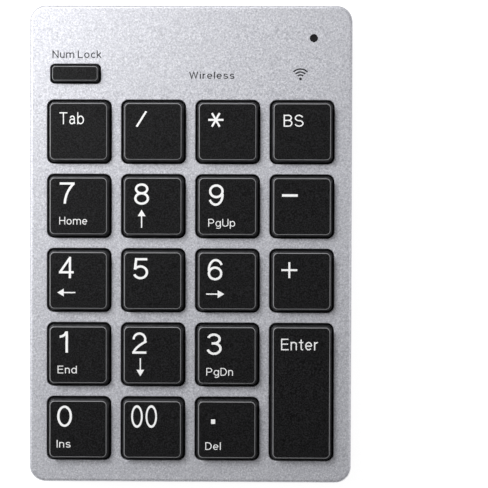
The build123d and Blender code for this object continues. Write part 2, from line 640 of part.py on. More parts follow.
with BuildPart() as controller_board:
    with BuildSketch(Plane.XY.offset(BOARD_Z[0])):
        with Locations(((BOARD_LEFT + BOARD_RIGHT) / 2, (BOARD_FRONT + BOARD_BACK) / 2)):
            Rectangle(BOARD_RIGHT - BOARD_LEFT, BOARD_BACK - BOARD_FRONT)
        with Locations(((ARM_LEFT + BOARD_RIGHT) / 2, (BOARD_BACK + ARM_BACK) / 2 - 0.5)):
            Rectangle(BOARD_RIGHT - ARM_LEFT, ARM_BACK - BOARD_BACK + CUT)
    extrude(amount=BOARD_Z[1] - BOARD_Z[0])
    fillet(controller_board.edges().filter_by(Axis.Z), 0.8)
    column(BOARD_POSTS, BOARD_SCREW_R + 0.15, BOARD_Z[0], BOARD_Z[1], Mode.SUBTRACT)
    column([plan_point(*GRIP_PLACES[0], PLATE_BOTTOM)], GRIP_R + 0.9, BOARD_Z[0], BOARD_Z[1],
           Mode.SUBTRACT)
write(controller_board, "controller_board")

with BuildPart() as controller_chip:
    block((CHIP[0] - CHIP_HALF, CHIP[0] + CHIP_HALF), (CHIP[1] - CHIP_HALF, CHIP[1] + CHIP_HALF),
          (BOARD_Z[1] + 0.15, BOARD_Z[1] + 1.1))
    chamfer(controller_chip.faces().sort_by(Axis.Z)[-1].edges(), 0.15)
    with BuildSketch(Plane.XY.offset(BOARD_Z[1])):
        with Locations(CHIP):
            across = 2 * CHIP_HALF + 1.4
            with GridLocations(CHIP_PIN_PITCH, across, CHIP_PINS, 2):
                Rectangle(*CHIP_PIN)
            with GridLocations(across, CHIP_PIN_PITCH, 2, CHIP_PINS):
                Rectangle(*reversed(CHIP_PIN))
    extrude(amount=0.3)
write(controller_chip, "controller_chip")

with BuildPart() as clock_crystal:
    block((-8.6, -5.4), (20.8, 23.2), (BOARD_Z[1], BOARD_Z[1] + 0.8))
    fillet(clock_crystal.edges().filter_by(Axis.Z), 0.4)
write(clock_crystal, "clock_crystal")

CAPACITORS = [(17.0, 19.0), (17.0, 22.0), (17.0, 25.0), (-3.5, 27.8), (20.0, 27.0), (26.0, 27.0)]

with BuildPart() as board_capacitors:
    for x, y in CAPACITORS:
        block((x - 0.9, x + 0.9), (y - 0.5, y + 0.5), (BOARD_Z[1], BOARD_Z[1] + 0.7))
write(board_capacitors, "board_capacitors")

CLAMP_Z = (BOARD_Z[1] + SHEET_T, BOARD_Z[1] + 1.4)

with BuildPart() as membrane_clamp:
    block((-CLAMP_SCREW_X - 2.2, CLAMP_SCREW_X + 2.2), (CLAMP_Y - 1.6, CLAMP_Y + 1.6), CLAMP_Z)
    fillet(membrane_clamp.edges().filter_by(Axis.Z), 1.2)
    column(BOARD_POSTS[:2], BOARD_SCREW_R + 0.15, CLAMP_Z[0], CLAMP_Z[1], Mode.SUBTRACT)
write(membrane_clamp, "membrane_clamp")

with BuildPart() as board_screws:
    for place in BOARD_POSTS[:2]:
        screw(place, CLAMP_Z[1], 1.3, 0.7, BOARD_SCREW_R, 4.6, up=False)
    screw(BOARD_POSTS[2], BOARD_Z[1], 1.3, 0.7, BOARD_SCREW_R, 3.2, up=False)
write(board_screws, "board_screws")

with BuildPart() as status_led:
    block((LED_POINT.X - 0.8, LED_POINT.X + 0.8), (LED_POINT.Y - 0.4, LED_POINT.Y + 0.4),
          (BOARD_Z[1], BOARD_Z[1] + 0.7))
    fillet(status_led.faces().sort_by(Axis.Z)[-1].edges(), 0.15)
write(status_led, "status_led")

with BuildPart() as led_light_guide:
    column([(LED_POINT.X, LED_POINT.Y)], LED_R, BOARD_Z[1] + 1.0, DECK_Z + 5)
    split(bisect_by=deck(0.02), keep=Keep.BOTTOM)
    with BuildSketch(deck(-DECK_T - 0.8)):
        with Locations((LED[0], LED[1] + GRID_V)):
            Circle(LED_R + 0.7)
    extrude(amount=0.8)
write(led_light_guide, "led_light_guide")

with BuildPart() as power_switch_body:
    block((SWITCH[0] - SWITCH_BODY[0] / 2, SWITCH[0] + SWITCH_BODY[0] / 2),
          (SWITCH[1] - SWITCH_BODY[1] / 2, SWITCH[1] + SWITCH_BODY[1] / 2), SWITCH_BODY_Z)
    fillet(power_switch_body.edges().filter_by(Axis.Z), 0.3)
    block((SWITCH[0] - 0.6, SWITCH[0] + 0.6), (SWITCH[1] - 2.6, SWITCH[1] + 2.6),
          (SWITCH_BODY_Z[0] - 0.1, SWITCH_BODY_Z[0] + 0.9), Mode.SUBTRACT)
write(power_switch_body, "power_switch_body")

with BuildPart() as power_switch_knob:
    knob_y = SWITCH[1] - SWITCH_SLIDE / 2
    block((SWITCH[0] - SWITCH_GRIP[0] / 2, SWITCH[0] + SWITCH_GRIP[0] / 2),
          (knob_y - SWITCH_GRIP[1] / 2, knob_y + SWITCH_GRIP[1] / 2), (FLOOR_Z + 0.1, LEDGE_Z + 0.2))
    with BuildSketch(Plane.XY.offset(FLOOR_Z + 0.1)):
        with Locations((SWITCH[0], knob_y)):
            with GridLocations(0, 0.6, 1, 3):
                Rectangle(SWITCH_GRIP[0], 0.25)
    extrude(amount=0.25, mode=Mode.SUBTRACT)
    block((SWITCH[0] - 1.6, SWITCH[0] + 1.6), (knob_y - 2.6, knob_y + 2.6),
          (LEDGE_Z + 0.1, LEDGE_Z + 0.7))
    block((SWITCH[0] - 0.5, SWITCH[0] + 0.5), (knob_y - 0.7, knob_y + 0.7),
          (LEDGE_Z + 0.6, SWITCH_BODY_Z[0] + 0.8))
write(power_switch_knob, "power_switch_knob")


# ---------------------------------------------------------------- cells and contacts
CONTACT_T = 0.4
CONTACT_Z = (3.4, 12.4)
CONTACT_GAP = 0.2
CONTACT_HALF = 4.4          # half the width of one contact
DIMPLE = 0.8
DIMPLE_R = 2.4
SPRING_T = 0.8
LEFT_FACE = CHAMBER_LEFT + CONTACT_GAP + CONTACT_T
RIGHT_FACE = CHAMBER_RIGHT - CONTACT_GAP - CONTACT_T
SPRING_LENGTH = RIGHT_FACE - LEFT_FACE - DIMPLE - CELL_NUB - CELL_BODY


def cell(nub_x, y, way):
    """A cell whose nub ends at nub_x and whose body lies the given way from it."""
    with BuildPart() as battery:
        with BuildSketch(Plane.XZ.offset(-y)):
            with BuildLine():
                Polyline((nub_x, CELL_Z), (nub_x, CELL_Z + CELL_NUB_R),
                         (nub_x + way * CELL_NUB, CELL_Z + CELL_NUB_R),
                         (nub_x + way * CELL_NUB, CELL_Z + CELL_R),
                         (nub_x + way * (CELL_NUB + CELL_BODY), CELL_Z + CELL_R),
                         (nub_x + way * (CELL_NUB + CELL_BODY), CELL_Z), close=True)
            make_face()
        revolve(axis=Axis((0, y, CELL_Z), (1, 0, 0)))
        fillet(battery.edges().filter_by(GeomType.CIRCLE).sort_by(SortBy.RADIUS)[-2:], 0.4)
    return battery


write(cell(RIGHT_FACE - DIMPLE, CELL_Y[0], -1), "battery_1")
write(cell(LEFT_FACE + DIMPLE, CELL_Y[1], 1), "battery_2")


def contact_strip(face, y, way):
    """The flat of a contact, whose face towards the cell is at x = face."""
    back = face - way * CONTACT_T
    block((min(face, back), max(face, back)), y, CONTACT_Z)


def dimple(face, y, way):
    """A button pressed out towards the nub of a cell."""
    with BuildSketch(Plane(origin=(face - way * CONTACT_T / 2, y, CELL_Z), z_dir=(way, 0, 0))) as disc:
        Circle(DIMPLE_R)
    extrude(disc.sketch, amount=DIMPLE + CONTACT_T / 2, taper=25)


def spring(face, y, way):
    """The conical spring that bears on the flat end of a cell, as a cone-shaped sleeve."""
    root, tip = face - way * CONTACT_T / 2, face + way * SPRING_LENGTH
    wide, narrow = CELL_Z + 3.1, CELL_Z + 1.9
    with BuildSketch(Plane.XZ.offset(-y)) as section:
        with BuildLine():
            Polyline((root, wide + SPRING_T), (root, wide), (tip, narrow), (tip, narrow + SPRING_T),
                     close=True)
        make_face()
    revolve(section.sketch, axis=Axis((0, y, CELL_Z), (1, 0, 0)))


with BuildPart() as battery_contact_link:
    contact_strip(LEFT_FACE, (CELL_Y[0] - CONTACT_HALF, CELL_Y[1] + CONTACT_HALF), 1)
    spring(LEFT_FACE, CELL_Y[0], 1)
    dimple(LEFT_FACE, CELL_Y[1], 1)
write(battery_contact_link, "battery_contact_link")


def tab(y):
    """The tab of a right-hand contact, which comes through the chamber wall onto the board."""
    block((RIGHT_FACE, ARM_LEFT + 1.6), (y - TAB_HALF, y + TAB_HALF),
          (BOARD_Z[1], BOARD_Z[1] + CONTACT_T))


with BuildPart() as battery_contact_positive:
    contact_strip(RIGHT_FACE, (CELL_Y[0] - CONTACT_HALF, CELL_Y[0] + CONTACT_HALF), -1)
    dimple(RIGHT_FACE, CELL_Y[0], -1)
    tab(TAB_Y[0])
write(battery_contact_positive, "battery_contact_positive")

with BuildPart() as battery_contact_negative:
    contact_strip(RIGHT_FACE, (CELL_Y[1] - CONTACT_HALF, CELL_Y[1] + CONTACT_HALF), -1)
    spring(RIGHT_FACE, CELL_Y[1], -1)
    tab(TAB_Y[1])
write(battery_contact_negative, "battery_contact_negative")


# ---------------------------------------------------------------- USB receiver in its bay
HOUSING_X = (RECEIVER_X - HOUSING[0] / 2, RECEIVER_X + HOUSING[0] / 2)
HOUSING_Z = (RECEIVER_Z - HOUSING[2] / 2, RECEIVER_Z + HOUSING[2] / 2)
PANEL_IN = 0.3
SIDE_RIB_X = 1.35
WINDOW = (2.6, 2.3)
WINDOW_X = 3.05
WINDOW_FROM_TIP = 5.3
NOTCH_R = 0.95
TONGUE_T = 1.9

with BuildPart() as receiver_housing:
    block(HOUSING_X, (HOUSING_FRONT, BACK), HOUSING_Z)
    fillet(receiver_housing.edges(), 0.3)
    # ribbed sides beside a plain middle panel
    for x in (HOUSING_X[0], HOUSING_X[1]):
        for step in range(4):
            rib_y = HOUSING_FRONT + 1.3 + 1.27 * step
            block((x - 0.4, x + 0.4), (rib_y - 0.28, rib_y + 0.28), (HOUSING_Z[0] - CUT, HOUSING_Z[1] + CUT),
                  Mode.SUBTRACT)
    for low in (HOUSING_Z[0] - CUT, HOUSING_Z[1] - PANEL_IN):
        for left, right in ((HOUSING_X[0] - CUT, HOUSING_X[0] + SIDE_RIB_X),
                            (HOUSING_X[1] - SIDE_RIB_X, HOUSING_X[1] + CUT)):
            block((left, right), (HOUSING_FRONT - CUT, BACK + CUT), (low, low + CUT + PANEL_IN),
                  Mode.SUBTRACT)
        block((HOUSING_X[0] - CUT, HOUSING_X[1] + CUT), (HOUSING_FRONT - CUT, HOUSING_FRONT + 1.5),
              (low, low + CUT + PANEL_IN), Mode.SUBTRACT)
    block((RECEIVER_X - SHELL[0] / 2, RECEIVER_X + SHELL[0] / 2),
          (HOUSING_FRONT - CUT, HOUSING_FRONT + SHELL_INSERT),
          (RECEIVER_Z - SHELL[2] / 2, RECEIVER_Z + SHELL[2] / 2), Mode.SUBTRACT)
    block((RECEIVER_X - 5.4, RECEIVER_X + 5.4), (HOUSING_FRONT + 1, BACK - 1.0),
          (RECEIVER_Z - 1.6, RECEIVER_Z + 1.6), Mode.SUBTRACT)
write(receiver_housing, "receiver_housing")

with BuildPart() as receiver_plug_shell:
    shell_y = (SHELL_TIP, HOUSING_FRONT + SHELL_INSERT)
    block((RECEIVER_X - SHELL[0] / 2, RECEIVER_X + SHELL[0] / 2), shell_y,
          (RECEIVER_Z - SHELL[2] / 2, RECEIVER_Z + SHELL[2] / 2))
    fillet(receiver_plug_shell.edges().filter_by(Axis.Y), 0.6)
    block((RECEIVER_X - SHELL[0] / 2 + SHELL_T, RECEIVER_X + SHELL[0] / 2 - SHELL_T),
          (shell_y[0] - CUT, shell_y[1] + CUT),
          (RECEIVER_Z - SHELL[2] / 2 + SHELL_T, RECEIVER_Z + SHELL[2] / 2 - SHELL_T), Mode.SUBTRACT)
    with BuildSketch(Plane.XY.offset(RECEIVER_Z)):
        with Locations((RECEIVER_X, SHELL_TIP + WINDOW_FROM_TIP)):
            with GridLocations(2 * WINDOW_X, 0, 2, 1):
                RectangleRounded(*WINDOW, 0.3)
        with Locations((RECEIVER_X, HOUSING_FRONT - 0.4)):
            with GridLocations(5.2, 0, 2, 1):
                Circle(NOTCH_R)
    extrude(amount=SHELL[2], both=True, mode=Mode.SUBTRACT)
write(receiver_plug_shell, "receiver_plug_shell")

PLUG_CONTACT = (1.1, 8.0)
PLUG_CONTACT_PITCH = 2.3
PLUG_CONTACT_Y = SHELL_TIP + 5.4
PLUG_CONTACT_IN = 0.2       # how deep the contacts lie in the tongue


def plug_contacts():
    """The plug's four contacts, drawn in the current sketch."""
    with Locations((RECEIVER_X, PLUG_CONTACT_Y)):
        with GridLocations(PLUG_CONTACT_PITCH, 0, 4, 1):
            Rectangle(*PLUG_CONTACT)


with BuildPart() as receiver_tongue:
    tongue_top = RECEIVER_Z + SHELL[2] / 2 - SHELL_T
    block((RECEIVER_X - 5.6, RECEIVER_X + 5.6), (SHELL_TIP + 0.4, HOUSING_FRONT + SHELL_INSERT),
          (tongue_top - TONGUE_T, tongue_top))
    chamfer(receiver_tongue.edges().filter_by(Axis.X).group_by(Axis.Y)[0], 0.3)
    with BuildSketch(Plane.XY.offset(tongue_top - TONGUE_T)):
        plug_contacts()
    extrude(amount=PLUG_CONTACT_IN, mode=Mode.SUBTRACT)
write(receiver_tongue, "receiver_tongue")

with BuildPart() as receiver_contacts:
    with BuildSketch(Plane.XY.offset(tongue_top - TONGUE_T - 0.1)):
        plug_contacts()
    extrude(amount=PLUG_CONTACT_IN + 0.1)
write(receiver_contacts, "receiver_contacts")

with BuildPart() as receiver_board:
    block((RECEIVER_X - 5.2, RECEIVER_X + 5.2), (HOUSING_FRONT - 3.0, BACK - 1.2),
          (RECEIVER_Z - 1.3, RECEIVER_Z - 0.5))
    block((RECEIVER_X - 1.5, RECEIVER_X + 1.5), (HOUSING_FRONT + 2.2, HOUSING_FRONT + 4.8),
          (RECEIVER_Z - 0.6, RECEIVER_Z + 0.3))
write(receiver_board, "receiver_board")
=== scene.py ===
"""Looks of the wireless numeric keypad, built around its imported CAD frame. Lengths are in metres."""

import json
from math import cos, pi, radians, sin, tau

import bpy
from mathutils import Matrix, Vector


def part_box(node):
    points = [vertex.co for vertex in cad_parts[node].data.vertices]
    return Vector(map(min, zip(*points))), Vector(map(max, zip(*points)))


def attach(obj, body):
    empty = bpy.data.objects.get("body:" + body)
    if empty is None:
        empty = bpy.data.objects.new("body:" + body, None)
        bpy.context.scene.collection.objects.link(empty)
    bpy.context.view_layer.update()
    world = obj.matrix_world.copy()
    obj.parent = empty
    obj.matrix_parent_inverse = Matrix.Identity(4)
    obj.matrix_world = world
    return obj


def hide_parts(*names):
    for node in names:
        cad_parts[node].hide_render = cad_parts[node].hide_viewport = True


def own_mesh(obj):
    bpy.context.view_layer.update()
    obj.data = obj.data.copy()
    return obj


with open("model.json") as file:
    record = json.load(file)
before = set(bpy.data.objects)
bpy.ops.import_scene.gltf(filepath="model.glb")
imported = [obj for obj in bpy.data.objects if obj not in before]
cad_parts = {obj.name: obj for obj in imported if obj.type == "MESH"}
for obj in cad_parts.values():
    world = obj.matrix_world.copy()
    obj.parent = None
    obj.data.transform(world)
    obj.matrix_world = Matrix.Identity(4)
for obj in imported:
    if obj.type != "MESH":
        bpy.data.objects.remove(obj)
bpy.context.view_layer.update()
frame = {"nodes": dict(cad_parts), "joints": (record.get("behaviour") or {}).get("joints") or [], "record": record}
nodes = frame["nodes"]
MM = 0.001

# ---------------------------------------------------------------- the sloping deck and its keys
KEY_PITCH = 19.0 * MM
HOMING_BAR = 0.3 * MM           # how far the bar stands up on the middle key
presses = {joint["child"]: joint for joint in frame["joints"] if joint["name"].endswith("_press")}
NORMAL = -Vector(presses["key_5_cap"]["axis"]).normalized()
ACROSS = Vector((1, 0, 0))
UPHILL = NORMAL.cross(ACROSS)


def middle(node):
    """The middle of a CAD node's box."""
    low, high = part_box(node)
    return (low + high) / 2


def top_height(node):
    """The highest reach of a CAD node along the deck's normal."""
    return max(vertex.co.dot(NORMAL) for vertex in nodes[node].data.vertices)


def deck_frame(origin):
    """The placing of something drawn flat on the deck: x right, y uphill, z away from it."""
    turn = Matrix((ACROSS, UPHILL, NORMAL)).transposed().to_4x4()
    return Matrix.Translation(origin) @ turn


def key_origin(node):
    """The middle of a keycap's top face."""
    centre = middle(node)
    rows = [vertex.co.dot(UPHILL) for vertex in nodes[node].data.vertices]
    uphill = (min(rows) + max(rows)) / 2
    return ACROSS * centre.x + UPHILL * uphill + NORMAL * flat_top(node)


def flat_top(node):
    """Height of the flat face of a keycap, without any homing bar."""
    return top_height(node) - (HOMING_BAR if node == "key_5" else 0.0)


# ---------------------------------------------------------------- materials
class Shader:
    """A small helper that wires nodes of one material."""

    def __init__(self, name):
        self.material = bpy.data.materials.new(name)
        self.material.use_nodes = True
        self.tree = self.material.node_tree
        self.surface = self.tree.nodes["Principled BSDF"]
        self.place = self.tree.nodes.new("ShaderNodeTexCoord").outputs["Object"]

    def add(self, kind, **values):
        node = self.tree.nodes.new("ShaderNode" + kind)
        for key, value in values.items():
            setattr(node, key, value)
        return node

    def link(self, start, end):
        self.tree.links.new(start, end)

    def constant(self, **values):
        for key, value in values.items():
            self.surface.inputs[key.replace("_", " ")].default_value = value
        return self

    def stretched(self, scale):
        mapping = self.add("Mapping")
        mapping.inputs["Scale"].default_value = scale
        self.link(self.place, mapping.inputs["Vector"])
        return mapping.outputs["Vector"]

    def noise(self, scale, detail=2.0, rough=0.5, vector=None):
        texture = self.add("TexNoise")
        texture.inputs["Scale"].default_value = scale
        texture.inputs["Detail"].default_value = detail
        texture.inputs["Roughness"].default_value = rough
        self.link(vector or self.place, texture.inputs["Vector"])
        return texture.outputs["Fac"]

    def cells(self, scale, vector=None):
        texture = self.add("TexVoronoi")
        texture.inputs["Scale"].default_value = scale
        self.link(vector or self.place, texture.inputs["Vector"])
        return texture

    def ramp(self, value, *stops):
        ramp = self.add("ValToRGB")
        elements = ramp.color_ramp.elements
        while len(elements) < len(stops):
            elements.new(0.5)
        for element, (position, colour) in zip(elements, stops):
            element.position = position
            grey = (colour, colour, colour) if isinstance(colour, float) else colour
            element.color = (*grey, 1.0)
        self.link(value, ramp.inputs["Fac"])
        return ramp.outputs["Color"]

    def mix(self, factor, first, second, blend="MIX"):
        mix = self.add("Mix", data_type="RGBA", blend_type=blend)
        for socket, value in ((mix.inputs["Factor"], factor), (mix.inputs["A"], first),
                              (mix.inputs["B"], second)):
            if isinstance(value, (float, tuple)):
                socket.default_value = (*value, 1.0) if isinstance(value, tuple) else value
            else:
                self.link(value, socket)
        return mix.outputs["Result"]

    def colour(self, value):
        self.link(value, self.surface.inputs["Base Color"])

    def roughness(self, value):
        self.link(value, self.surface.inputs["Roughness"])

    def bump(self, value, distance, strength=1.0, under=None):
        bump = self.add("Bump")
        bump.inputs["Distance"].default_value = distance
        bump.inputs["Strength"].default_value = strength
        self.link(value, bump.inputs["Height"])
        if under:
            self.link(under, bump.inputs["Normal"])
        self.link(bump.outputs["Normal"], self.surface.inputs["Normal"])
        return bump.outputs["Normal"]

    def worn_edges(self, base, edge, low=0.52, high=0.62):
        """Lets an edge colour show where the surface turns sharply."""
        curved = self.add("NewGeometry").outputs["Pointiness"]
        return self.mix(self.ramp(curved, (low, 0.0), (high, 1.0)), base, edge)

    def paint_rim_highlight(self, base, edge):
        """Paints a bright edge colour on the rounded rim between a cap's flat top and its sides: a painted
        highlight where the rim would catch the light.
        """
        slope = self.add("VectorMath", operation="DOT_PRODUCT")
        self.link(self.add("NewGeometry").outputs["Normal"], slope.inputs[0])
        slope.inputs[1].default_value = NORMAL
        level = slope.outputs["Value"]
        rim = self.mix(1.0, self.ramp(level, (0.45, 0.0), (0.6, 1.0)),
                       self.ramp(level, (0.93, 1.0), (0.99, 0.0)), "MULTIPLY")
        return self.mix(rim, base, edge)


def moulded(name, dark, light, grain=5200.0, depth=0.000012, rough=(0.45, 0.6), edge=None):
    """Moulded plastic or rubber: a spark-eroded grain, faint clouding and slightly polished edges."""
    shader = Shader(name).constant(Specular_IOR_Level=0.3)
    cloud = shader.noise(90.0, 3.0)
    fine = shader.noise(grain, 3.0, 0.6)
    base = shader.mix(shader.ramp(cloud, (0.35, 0.0), (0.7, 1.0)), dark, light)
    base = shader.mix(shader.ramp(fine, (0.4, 0.0), (0.62, 0.35)), base, light)
    shader.colour(shader.worn_edges(base, edge) if edge else base)
    shader.roughness(shader.ramp(shader.noise(grain * 0.4), (0.3, rough[0]), (0.7, rough[1])))
    shader.bump(fine, depth)
    return shader


def sheet_metal(name, dark, light, stretch, scale=900.0, rough=(0.22, 0.42), depth=0.000006):
    """Rolled or drawn metal with fine lines along one way and a few duller patches."""
    shader = Shader(name).constant(Metallic=1.0)
    lines = shader.noise(scale, 4.0, 0.6, shader.stretched(stretch))
    patches = shader.noise(160.0, 3.0)
    base = shader.mix(shader.ramp(lines, (0.3, 0.0), (0.7, 1.0)), dark, light)
    shader.colour(shader.mix(shader.ramp(patches, (0.5, 0.0), (0.75, 0.3)), base, dark))
    shader.roughness(shader.ramp(lines, (0.3, rough[0]), (0.7, rough[1])))
    shader.bump(lines, depth)
    return shader


def silver_paint():
    """Silver paint on plastic: flakes that differ in brightness under a satin coat."""
    shader = Shader("silver_paint").constant(Metallic=0.55, Coat_Weight=0.25, Coat_Roughness=0.35)
    flakes = shader.cells(3600.0)
    specks = shader.noise(2300.0, 4.0, 0.75)
    cloud = shader.noise(60.0, 2.0)
    base = shader.mix(shader.ramp(specks, (0.32, 0.0), (0.68, 1.0)),
                      (0.40, 0.405, 0.445), (0.76, 0.765, 0.82))
    glint = shader.ramp(flakes.outputs["Color"], (0.55, 0.0), (0.95, 0.6))
    base = shader.mix(glint, base, (0.92, 0.925, 0.96))
    shader.colour(shader.mix(shader.ramp(cloud, (0.4, 0.0), (0.7, 0.12)), base, (0.60, 0.605, 0.63)))
    shader.roughness(shader.ramp(specks, (0.3, 0.34), (0.7, 0.5)))
    shader.bump(specks, 0.000010)
    return shader


def keycap_plastic():
    """Black keycap: fine matte texture, with a painted highlight on the rounded rim of its top."""
    shader = Shader("keycap_black").constant(Specular_IOR_Level=0.16)
    texture = shader.noise(3000.0, 4.0, 0.65)
    pits = shader.cells(4200.0)
    base = shader.mix(shader.ramp(texture, (0.42, 0.0), (0.64, 1.0)),
                      (0.0004, 0.0004, 0.0005), (0.0180, 0.0180, 0.0195))
    # painted highlight: a light grey laid on the rounded rim around each cap's flat top
    shader.colour(shader.paint_rim_highlight(base, (0.30, 0.30, 0.31)))
    shader.roughness(shader.ramp(shader.noise(700.0, 3.0), (0.3, 0.36), (0.7, 0.48)))
    grain = shader.bump(texture, 0.000014)
    shader.bump(pits.outputs["Distance"], 0.000006, 0.6, under=grain)
    return shader


def printed(name, ink, speckle):
    """Pad-printed ink with tiny pinholes."""
    shader = Shader(name).constant(Specular_IOR_Level=0.35)
    holes = shader.noise(9000.0, 3.0)
    shader.colour(shader.mix(shader.ramp(holes, (0.55, 0.0), (0.75, 0.6)), ink, speckle))
    shader.roughness(shader.ramp(holes, (0.3, 0.4), (0.7, 0.6)))
    shader.bump(holes, 0.000003)
    return shader


def film(name, tint):
    """Clear polyester film, slightly hazy."""
    shader = Shader(name).constant(Transmission_Weight=0.7, IOR=1.5)
    haze = shader.noise(400.0, 3.0)
    shader.colour(shader.mix(shader.ramp(haze, (0.4, 0.0), (0.7, 0.4)), tint, (0.62, 0.68, 0.66)))
    shader.roughness(shader.ramp(haze, (0.3, 0.12), (0.7, 0.3)))
    shader.bump(haze, 0.000008)
    return shader


def board_mask():
    """Green solder mask over faint copper tracks."""
    shader = Shader("board_green").constant(Coat_Weight=0.4)
    tracks = shader.add("TexBrick")
    tracks.inputs["Scale"].default_value = 420.0
    tracks.inputs["Mortar Size"].default_value = 0.035
    shader.link(shader.place, tracks.inputs["Vector"])
    weave = shader.noise(1500.0, 2.0)
    base = shader.mix(tracks.outputs["Fac"], (0.010, 0.10, 0.035), (0.02, 0.20, 0.07))
    shader.colour(shader.mix(shader.ramp(weave, (0.4, 0.0), (0.7, 0.3)), base, (0.015, 0.14, 0.05)))
    shader.roughness(shader.ramp(weave, (0.3, 0.25), (0.7, 0.4)))
    shader.bump(tracks.outputs["Fac"], 0.00003)
    return shader


def cell_wrapper():
    """Plain printed wrapper of a cell: a dark body, a copper band at the nub end, a thin line."""
    shader = Shader("cell_wrapper").constant(Coat_Weight=0.5)
    along = shader.add("SeparateXYZ")
    shader.link(shader.place, along.inputs["Vector"])
    shift = shader.add("MapRange")
    low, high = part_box("battery_1")
    shift.inputs["From Min"].default_value = low.x
    shift.inputs["From Max"].default_value = high.x
    shader.link(along.outputs["X"], shift.inputs["Value"])
    band = shader.ramp(shift.outputs["Result"], (0.0, (0.04, 0.12, 0.22)), (0.70, (0.04, 0.12, 0.22)),
                       (0.705, (0.7, 0.7, 0.7)), (0.72, (0.7, 0.7, 0.7)), (0.725, (0.55, 0.28, 0.12)),
                       (0.97, (0.55, 0.28, 0.12)), (0.975, (0.6, 0.6, 0.6)))
    scuff = shader.noise(500.0, 4.0)
    shader.colour(shader.mix(shader.ramp(scuff, (0.5, 0.0), (0.8, 0.25)), band, (0.35, 0.35, 0.36)))
    shader.roughness(shader.ramp(scuff, (0.3, 0.22), (0.7, 0.42)))
    shader.bump(scuff, 0.00001)
    return shader


def smoked_lens():
    """The dark, glossy end of the light guide."""
    shader = Shader("lens_smoke").constant(Coat_Weight=1.0, Coat_Roughness=0.04)
    swirl = shader.noise(1200.0, 2.0)
    shader.colour(shader.ramp(swirl, (0.35, (0.004, 0.004, 0.005)), (0.7, (0.02, 0.02, 0.022))))
    shader.roughness(shader.ramp(swirl, (0.3, 0.08), (0.7, 0.16)))
    shader.bump(swirl, 0.00001)
    return shader


def silicone():
    """Milky dome rubber."""
    shader = moulded("dome_rubber", (0.55, 0.55, 0.52), (0.68, 0.68, 0.66), 2600.0, 0.00001, (0.4, 0.55))
    return shader.constant(Subsurface_Weight=0.25, Subsurface_Radius=(0.002, 0.002, 0.0015))


FINISHES = {
    "case_silver": silver_paint(),
    "case_black": moulded("case_black", (0.003, 0.003, 0.0035), (0.018, 0.018, 0.019), 3600.0, 0.000022,
                          (0.45, 0.62), (0.035, 0.035, 0.036)),
    "keycap_black": keycap_plastic(),
    "foot_rubber": moulded("foot_rubber", (0.012, 0.012, 0.012), (0.032, 0.032, 0.031), 2400.0, 0.00003,
                           (0.7, 0.88)),
    "screw_steel": sheet_metal("screw_steel", (0.30, 0.30, 0.31), (0.58, 0.58, 0.60), (1, 1, 0.2)),
    "dome_rubber": silicone(),
    "membrane_film": film("membrane_film", (0.80, 0.86, 0.84)),
    "plate_steel": sheet_metal("plate_steel", (0.36, 0.37, 0.38), (0.62, 0.63, 0.64), (0.08, 1, 1)),
    "board_green": board_mask(),
    "chip_black": moulded("chip_black", (0.012, 0.012, 0.012), (0.035, 0.035, 0.035), 4000.0, 0.00001),
    "component_metal": sheet_metal("component_metal", (0.5, 0.5, 0.5), (0.75, 0.75, 0.75), (0.3, 1, 1)),
    "component_ceramic": moulded("component_ceramic", (0.30, 0.20, 0.12), (0.48, 0.36, 0.24), 3000.0),
    "lens_smoke": smoked_lens(),
    "led_clear": moulded("led_clear", (0.70, 0.68, 0.45), (0.85, 0.84, 0.70), 2000.0, 0.000004,
                         (0.1, 0.2)),
    "contact_nickel": sheet_metal("contact_nickel", (0.45, 0.44, 0.42), (0.72, 0.71, 0.68),
                                  (1, 0.15, 1)),
    "cell_wrapper": cell_wrapper(),
    "switch_black": moulded("switch_black", (0.010, 0.010, 0.010), (0.026, 0.026, 0.027), 3000.0,
                            0.000012, (0.3, 0.45), (0.06, 0.06, 0.06)),
    "plug_steel": sheet_metal("plug_steel", (0.58, 0.575, 0.57), (0.86, 0.855, 0.85), (1, 0.06, 1),
                              1400.0, (0.18, 0.34)),
    "tongue_black": moulded("tongue_black", (0.012, 0.012, 0.012), (0.03, 0.03, 0.03), 3000.0),
    "contact_gold": sheet_metal("contact_gold", (0.62, 0.36, 0.16), (0.86, 0.58, 0.32), (1, 0.2, 1)),
}
INK_WHITE = printed("ink_white", (0.86, 0.86, 0.86), (0.55, 0.55, 0.56)).material
INK_GREY = printed("ink_grey", (0.022, 0.023, 0.027), (0.06, 0.06, 0.065)).material

for part in frame["record"]["subparts"]:
    node = nodes[part["node"]]
    node.data.materials.clear()
    node.data.materials.append(FINISHES[part["material_slot"]].material)


# ---------------------------------------------------------------- pieces drawn in code
def piece(name, mesh, body, material):
    """A new object made of a mesh, riding on a body."""
    made = bpy.data.objects.new(name, mesh)
    bpy.context.scene.collection.objects.link(made)
    mesh.materials.clear()
    mesh.materials.append(material)
    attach(made, body)
    return made


# The legends are drawn with strokes of one width, as rounded sans-serif letters. Cap height is 1.
X_HEIGHT = 0.73
SPACING = 0.17
WORD_SPACE = 0.25


def arc(x, y, rx, ry, start, end):
    """Points along part of an ellipse, its angles in degrees."""
    steps = max(4, round(abs(end - start) / 9))
    turns = [radians(start + (end - start) * step / steps) for step in range(steps + 1)]
    return [(x + rx * cos(turn), y + ry * sin(turn)) for turn in turns]


def bowl(x, low, high, rx, start, end):
    """An arc between two heights."""
    return arc(x, (low + high) / 2, rx, (high - low) / 2, start, end)


def swept(start, pull, end):
    """A curved stroke from start to end that leans towards the point pull."""
    steps = [step / 10 for step in range(11)]
    return [tuple((1 - t) ** 2 * a + 2 * t * (1 - t) * b + t * t * c
                  for a, b, c in zip(start, pull, end)) for t in steps]


def half_turn(strokes, width, height):
    """Strokes turned upside down about the middle of their box."""
    return [[(width - x, height - y) for x, y in stroke] for stroke in strokes]


